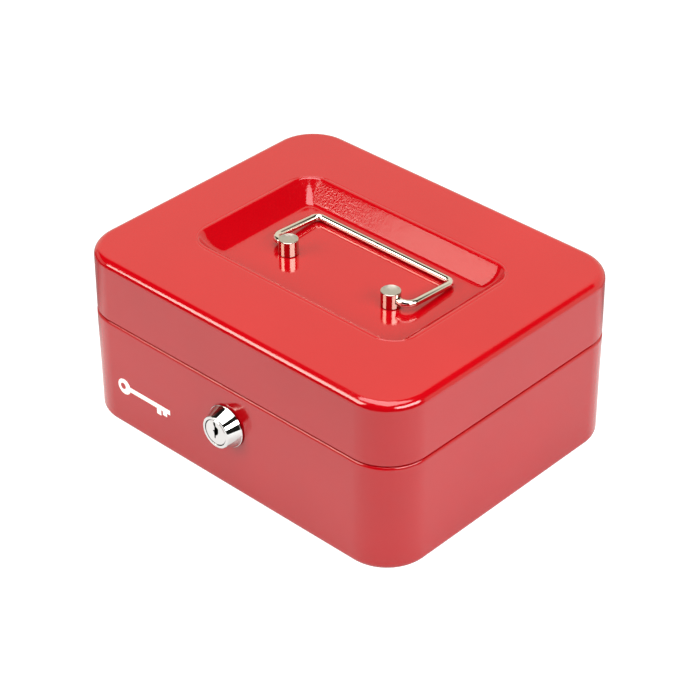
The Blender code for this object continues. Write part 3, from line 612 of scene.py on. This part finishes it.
def well_ring(inset, z):
    """An outline of the well. Its drawn corners are tightest halfway down the wall."""
    part = inset / well_run()
    radius = WELL_CORNER_TOP + (WELL_CORNER_FOOT - WELL_CORNER_TOP) * part
    radius -= WELL_CORNER_PINCH * 4 * part * (1 - part)
    return rounded_ring(WELL_WIDTH - 2 * inset, WELL_DEPTH - 2 * inset, radius, z, WELL_CENTRE_Y)


def rim_line():
    """(inset, height) over the faint pressed line around the well's mouth."""
    points = []
    for step in range(RIM_LINE_STEPS + 1):
        part = step / RIM_LINE_STEPS
        dip = RIM_LINE_DEPTH * (1 - math.cos(2 * math.pi * part)) / 2
        points.append((RIM_LINE_WIDTH * (part - 1) - RIM_LINE_LAND, HEIGHT - dip))
    return points


def lid_skirt(offset):
    """(inset, height) up the skirt and over the top edge. The hem's corners are slightly round."""
    centre = (LID_DRAFT + LID_EDGE_RADIUS, HEIGHT - LID_EDGE_RADIUS)
    inward = 1 if offset == 0 else -1
    face = LID_INSET if offset == 0 else offset
    hem = (face + inward * HEM_ROUND, SEAM_HEIGHT + HEM_ROUND)
    turn = -math.pi / 2 - inward * math.pi / 2
    up = arc(hem, HEM_ROUND, -math.pi / 2, turn, HEM_STEPS)
    up += arc(centre, LID_EDGE_RADIUS - offset, math.pi, math.pi / 2, EDGE_STEPS + 4)
    return up


def lid_skin():
    rings = [well_ring(*point) for point in reversed(well_profile(SHEET))]
    rings += [shell_ring(*point) for point in reversed(lid_skirt(SHEET))]
    rings += [shell_ring(*point) for point in lid_skirt(0.0)]
    rings += [well_ring(*point) for point in rim_line() + well_profile(0.0)]
    skin = new_object("lid_skin", loft(rings, "lid_skin"))
    notch_top = HINGE_AXIS.z + KNUCKLE_RADIUS + NOTCH_CLEARANCE
    for side in (-1, 1):
        carve(skin, hinge_notch(side, SEAM_HEIGHT - SHEET, notch_top, "notch"))
        hole = disc(SPIGOT_RADIUS + FIT_GAP, 32, (side * POST_X, HANDLE_PIVOT.y))
        carve(skin, prism(hole, WELL_FLOOR - 3 * SHEET, WELL_FLOOR + 2 * SHEET, "post_hole"))
    weigh_normals(skin)
    return place_piece(skin, "lid", "red_paint", PAINT, "lid_shell")


# ---- Handle ----
def wire_route():
    quarter = math.pi / 2
    half = [(WIRE_END_X, 0.0), (WIRE_END_X + 0.001, 0.0)]
    half += arc((ARM_X - NEAR_BEND, NEAR_BEND), NEAR_BEND, -quarter, 0, 14)
    half += arc((ARM_X - FAR_BEND, REACH - FAR_BEND), FAR_BEND, 0, quarter, 14)
    return half + [(-x, y) for x, y in reversed(half)]


def handle_wire():
    """The bail: one bent wire with chamfered ends, laid back on the well's floor."""
    drop = HANDLE_PIVOT.z - WELL_FLOOR - WIRE_RADIUS - FIT_GAP
    tilt = Matrix.Rotation(-math.asin(drop / REACH), 4, "X")
    place = Matrix.Translation(HANDLE_PIVOT) @ tilt
    route = [Vector((x, y, 0.0)) for x, y in wire_route()]
    bm = bmesh.new()
    rows = []
    for i, point in enumerate(route):
        before, after = route[max(i - 1, 0)], route[min(i + 1, len(route) - 1)]
        along = (after - before).normalized()
        out = Vector((along.y, -along.x, 0.0))
        shrink = WIRE_END_SHRINK if i in (0, len(route) - 1) else 1.0
        row = []
        for side in range(WIRE_SIDES):
            angle = 2 * math.pi * side / WIRE_SIDES
            spoke = out * math.cos(angle) + Vector((0, 0, 1)) * math.sin(angle)
            row.append(bm.verts.new(point + spoke * WIRE_RADIUS * shrink))
        rows.append(row)
    for low, high in zip(rows, rows[1:]):
        for i in range(WIRE_SIDES):
            j = (i + 1) % WIRE_SIDES
            bm.faces.new((low[i], low[j], high[j], high[i]))
    bm.faces.new(list(reversed(rows[0])))
    bm.faces.new(rows[-1])
    bmesh.ops.transform(bm, matrix=place, verts=bm.verts)
    wire = new_object("handle_wire", finish_mesh(bm, "handle_wire", 50))
    return place_piece(wire, "handle", "chrome", BAIL_NICKEL, "carry_handle")


def handle_stud(name, side, node):
    """A turned post: dished top with a chamfered edge, and a threaded spigot below the well."""
    foot = WELL_FLOOR + FIT_GAP
    edge, foot_edge = 0.00035, 0.0002
    lead_in, plain_neck = 0.0003, 0.001
    profile = [(0, SPIGOT_END), (SPIGOT_RADIUS - lead_in, SPIGOT_END)]
    turns = int((foot - plain_neck - foot_edge - SPIGOT_END) / SPIGOT_PITCH)
    for turn in range(turns):
        z = SPIGOT_END + foot_edge + turn * SPIGOT_PITCH
        profile += [(SPIGOT_RADIUS, z), (SPIGOT_RADIUS - SPIGOT_THREAD, z + SPIGOT_PITCH / 2)]
    profile += [(SPIGOT_RADIUS, foot - plain_neck), (SPIGOT_RADIUS, foot)]
    profile += [(POST_RADIUS - foot_edge, foot), (POST_RADIUS, foot + foot_edge)]
    profile += [(POST_RADIUS, POST_TOP - edge)]
    profile += [(POST_RADIUS - edge * 0.3, POST_TOP - edge * 0.3), (POST_RADIUS - edge, POST_TOP)]
    rim = POST_RADIUS - edge
    dish = (0.85, 0.65, 0.45, 0.25, 0.0)
    profile += [(rim * part, POST_TOP - POST_DISH * (1 - part**2)) for part in dish]
    place = Matrix.Translation((side * POST_X, HANDLE_PIVOT.y, 0))
    stud = new_object(name, lathe(profile, name, place))
    ends = sorted((side * WIRE_HOLE_END_X, side * (POST_X + 2 * POST_RADIUS)))
    along_x = Matrix(((0, 0, 1, 0), (1, 0, 0, 0), (0, 1, 0, 0), (0, 0, 0, 1)))
    put = Matrix.Translation((0, HANDLE_PIVOT.y, HANDLE_PIVOT.z)) @ along_x
    carve(stud, prism(disc(WIRE_HOLE_RADIUS, 36), *ends, "wire_hole", put))
    weigh_normals(stud)
    return place_piece(stud, "lid", "nickel", NICKEL, node)


# ---- Lock ----
def lock_head():
    """The conical head on its threaded double-D barrel, bored for the plug and grooved for the wafers."""
    edge = 0.00045
    head = [
        (0, FIT_GAP),
        (CONE_BASE_RADIUS - edge, FIT_GAP),
        (CONE_BASE_RADIUS, FIT_GAP + edge * 0.6),
    ]
    bead = (CONE_BASE_RADIUS - CONE_BEAD, CONE_LIP)
    head += arc(bead, CONE_BEAD, 0, math.radians(66), 6)
    head += [(CONE_FACE_RADIUS + 0.00012, LOCK_FACE - edge * 1.2)]
    head += arc((CONE_FACE_RADIUS - edge, LOCK_FACE - edge), edge, math.radians(20), math.pi / 2, 5)
    mouth = LOCK_FACE - 0.0002
    head += [(PLUG_BORE + 0.00035, LOCK_FACE), (PLUG_BORE - 0.001, mouth), (0, mouth)]
    housing = new_object("lock_head", lathe(head, "lock_head", LOCK_PLACE, 96))
    barrel = [(0, BARREL_END), (BARREL_RADIUS - THREAD_DEPTH, BARREL_END)]
    crest = BARREL_END + THREAD_PITCH / 2
    while crest < -THREAD_PITCH:
        barrel += [(BARREL_RADIUS, crest), (BARREL_RADIUS - THREAD_DEPTH, crest + THREAD_PITCH / 2)]
        crest += THREAD_PITCH
    barrel += [(BARREL_RADIUS, -THREAD_PITCH * 0.4), (BARREL_RADIUS, FIT_GAP * 2), (0, FIT_GAP * 2)]
    round_barrel = new_object("round_barrel", lathe(barrel, "round_barrel", LOCK_PLACE, 64))
    slab = block(
        (-0.02, -BARREL_FLAT, 2 * BARREL_END), (0.02, BARREL_FLAT, 0.01), "barrel_flats", LOCK_PLACE
    )
    carve(round_barrel, slab, "INTERSECT")
    carve(housing, round_barrel.data.copy(), "UNION")
    bpy.data.objects.remove(round_barrel)
    carve(housing, prism(disc(PLUG_BORE, 72), 2 * BARREL_END, 2 * LOCK_FACE, "plug_bore", LOCK_PLACE))
    front = LOCK_CENTRE.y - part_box("wafer_1")[0].y + WAFER_ROOM
    rear = LOCK_CENTRE.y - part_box("wafer_5")[1].y - WAFER_ROOM
    half, deep = GROOVE_HALF, GROOVE_DEPTH
    carve(housing, block((-half, 0, rear), (half, deep, front), "top_groove", LOCK_PLACE))
    carve(housing, block((-deep, -half, rear), (0, half, front), "side_groove", LOCK_PLACE))
    weigh_normals(housing, 30)
    return place_piece(housing, "box", "chrome", CHROME, "lock_housing")


# ---- Print on the front ----
def key_mark():
    """A plain white key pictogram, printed on the front."""
    bow = 0.0042
    middle, left, right = 0.0240, -0.0740, -0.0385
    ring = disc(bow, 48, (left + bow, middle))
    hole = disc(bow * 0.42, 24, (left + bow * 0.8, middle))
    half, bit_width = 0.0013, 0.0028
    front, rear = -INK, INK / 3
    lift = DEPTH / 2 + INK
    place = Matrix(((1, 0, 0, 0), (0, 0, 1, -lift), (0, 1, 0, 0), (0, 0, 0, 1)))
    mark = new_object("key_mark", prism(ring, front, rear, "key_mark", place))
    shaft = block((left + bow, middle - half, front), (right, middle + half, rear), "shaft", place)
    carve(mark, shaft, "UNION")
    for back, drop in ((0.0090, 0.0044), (0.0050, 0.0034)):
        start = right - back
        bit = block((start, middle - drop, front), (start + bit_width, middle, rear), "bit", place)
        carve(mark, bit, "UNION")
    carve(mark, prism(hole, -0.001, 0.001, "bow_hole", place))
    mark.data.shade_flat()
    return place_piece(mark, "box", "red_paint", WHITE_INK)


# ---- Looks of the CAD nodes that stay ----
def dress_nodes():
    """Every CAD node that stays in view gets its own finish."""
    by_slot = {
        "red_paint": PAINT,
        "chrome": CHROME,
        "nickel": NICKEL,
        "zinc_steel": ZINC,
        "brass": BRASS,
        "black_plastic": PLASTIC,
    }
    for row in frame["record"]["subparts"]:
        node = NODES[row["node"]]
        if node.hide_render:
            continue
        node.data.materials.clear()
        node.data.materials.append(by_slot[row["material_slot"]])
        weigh_normals(node)


# ---- Studio ----
def studio_world():
    """A dim room with a white sweep behind the box. The camera itself sees a plain white backdrop."""
    world = bpy.data.worlds.new("studio")
    bpy.context.scene.world = world
    world.use_nodes = True
    tree = world.node_tree
    tree.nodes.clear()

    def node(kind, **settings):
        made = tree.nodes.new(kind)
        for key, value in settings.items():
            setattr(made, key, value)
        return made

    def steps(source, low, high):
        made = node("ShaderNodeMapRange", interpolation_type="SMOOTHSTEP")
        made.inputs["From Min"].default_value = low
        made.inputs["From Max"].default_value = high
        tree.links.new(source, made.inputs["Value"])
        return made.outputs["Result"]

    def product(first, second):
        made = node("ShaderNodeMath", operation="MULTIPLY")
        tree.links.new(first, made.inputs[0])
        tree.links.new(second, made.inputs[1])
        return made.outputs["Value"]

    coords = node("ShaderNodeTexCoord").outputs["Generated"]

    def along(direction):
        made = node("ShaderNodeVectorMath", operation="DOT_PRODUCT")
        made.inputs[1].default_value = direction
        tree.links.new(coords, made.inputs[0])
        return made.outputs["Value"]

    sweep = product(steps(along(SWEEP_MIDDLE), *SWEEP_SIDES), steps(along(SWEEP_LEAN), *SWEEP_TOP))
    bright = node("ShaderNodeMapRange")
    bright.inputs["To Min"].default_value = ROOM_LIGHT
    bright.inputs["To Max"].default_value = SWEEP_LIGHT
    tree.links.new(sweep, bright.inputs["Value"])
    room = node("ShaderNodeBackground")
    room.inputs["Color"].default_value = SWEEP_COLOUR
    tree.links.new(bright.outputs["Result"], room.inputs["Strength"])
    backdrop = node("ShaderNodeBackground")
    backdrop.inputs["Color"].default_value = (1.0, 1.0, 1.0, 1.0)
    path = node("ShaderNodeLightPath")
    mix = node("ShaderNodeMixShader")
    output = node("ShaderNodeOutputWorld")
    tree.links.new(path.outputs["Is Camera Ray"], mix.inputs["Fac"])
    tree.links.new(room.outputs["Background"], mix.inputs[1])
    tree.links.new(backdrop.outputs["Background"], mix.inputs[2])
    tree.links.new(mix.outputs["Shader"], output.inputs["Surface"])


def softbox(name, azimuth, elevation, distance, size, radiance, colour=(1.0, 1.0, 1.0)):
    """An area light at a bearing from the box: azimuth is anticlockwise from +X, seen from above."""
    turn, rise = math.radians(azimuth), math.radians(elevation)
    aim = Vector((0, 0, HEIGHT / 2))
    toward = Vector((math.cos(turn) * math.cos(rise), math.sin(turn) * math.cos(rise), math.sin(rise)))
    location = aim + toward * distance
    power = math.pi * size[0] * size[1] * radiance
    light = bpy.data.lights.new(name, "AREA")
    light.shape = "RECTANGLE"
    light.size, light.size_y = size
    light.energy = power
    light.color = colour
    lamp = new_object(name, light)
    lamp.location = location
    lamp.rotation_mode = "QUATERNION"
    lamp.rotation_quaternion = toward.to_track_quat("Z", "Y")


def studio_floor():
    """A pale round floor that glows, white to the camera. Reflections see it darken behind the box, a painted
    shadow in its colour and glow.
    """
    bm = bmesh.new()
    for x, y in disc(FLOOR_RADIUS, 96):
        bm.verts.new((x, y, 0.0))
    bm.faces.new(bm.verts)
    floor = new_object("studio_floor", finish_mesh(bm, "studio_floor"))
    floor.location.z = CAD_LOW.z - 0.0001
    look = Look("pale_floor")
    look.set(Roughness=0.7, Emission_Strength=1.0)
    # Painted shadow: the floor's colour and glow darken behind the box, down to a share of their full strength.
    side = look.node("ShaderNodeVectorMath", operation="DOT_PRODUCT")
    side.inputs[1].default_value = FLOOR_BEHIND
    look.link(look.coords, side.inputs[0])
    painted_shadow_behind_box = look.span(side.outputs["Value"], *FLOOR_SHADOW_SPAN, 1.0, FLOOR_SHADOW_LEAST)
    cloud = look.span(look.noise(3, 2), 0.3, 0.7, 0.96, 1.0)
    shade = look.maths("MULTIPLY", painted_shadow_behind_box, cloud)
    albedo = look.maths("MULTIPLY", shade, FLOOR_ALBEDO)
    # The floor glows as well, painted light standing in for light on the floor. The camera sees plain white
    # instead.
    glow = look.maths("MULTIPLY", shade, FLOOR_GLOW)
    seen = look.node("ShaderNodeLightPath").outputs["Is Camera Ray"]
    look.wire(Base_Color=albedo, Emission_Color=look.mix(seen, glow, (1.0, 1.0, 1.0)))
    floor.data.materials.append(look.material)


def studio_camera():
    """The camera looks at its target from a bearing right of the front, an elevation and a small roll."""
    azimuth, elevation, roll = (math.radians(angle) for angle in CAMERA_ANGLES)
    level = math.cos(elevation)
    back = Vector((math.sin(azimuth) * level, -math.cos(azimuth) * level, math.sin(elevation)))
    data = bpy.data.cameras.new("photo_camera")
    data.lens, data.sensor_width = CAMERA_LENS, 36.0
    data.clip_start, data.clip_end = 0.05, 50.0
    camera = new_object("photo_camera", data)
    camera.location = Vector(CAMERA_TARGET) + back * CAMERA_DISTANCE
    camera.rotation_mode = "QUATERNION"
    turn = back.to_track_quat("Z", "Y") @ Matrix.Rotation(-roll, 4, "Z").to_quaternion()
    camera.rotation_quaternion = turn
    bpy.context.scene.camera = camera


def build():
    studio_camera()
    body_skin()
    lid_skin()
    handle_wire()
    handle_stud("handle_stud_left", -1, "handle_post_left")
    handle_stud("handle_stud_right", 1, "handle_post_right")
    lock_head()
    key_mark()
    dress_nodes()
    studio_world()
    studio_floor()
    softbox("overhead_softbox", -90, 85, 1.3, (1.30, 1.10), 5.25)
    softbox("left_softbox", -118.9, 28.2, 2.0, (1.15, 0.77), 11.2, WARM)
    softbox("left_softbox_edge", -119, 41.9, 2.08, (1.15, 0.26), 3.6, WARM)
    softbox("right_softbox", -3, 32, 1.2, (1.07, 0.42), 11.8)
    softbox("low_left_card", -160, 12, 2.2, (1.6, 0.9), 0.7, WARM)
    bpy.context.scene.view_settings.view_transform = "Standard"


build()
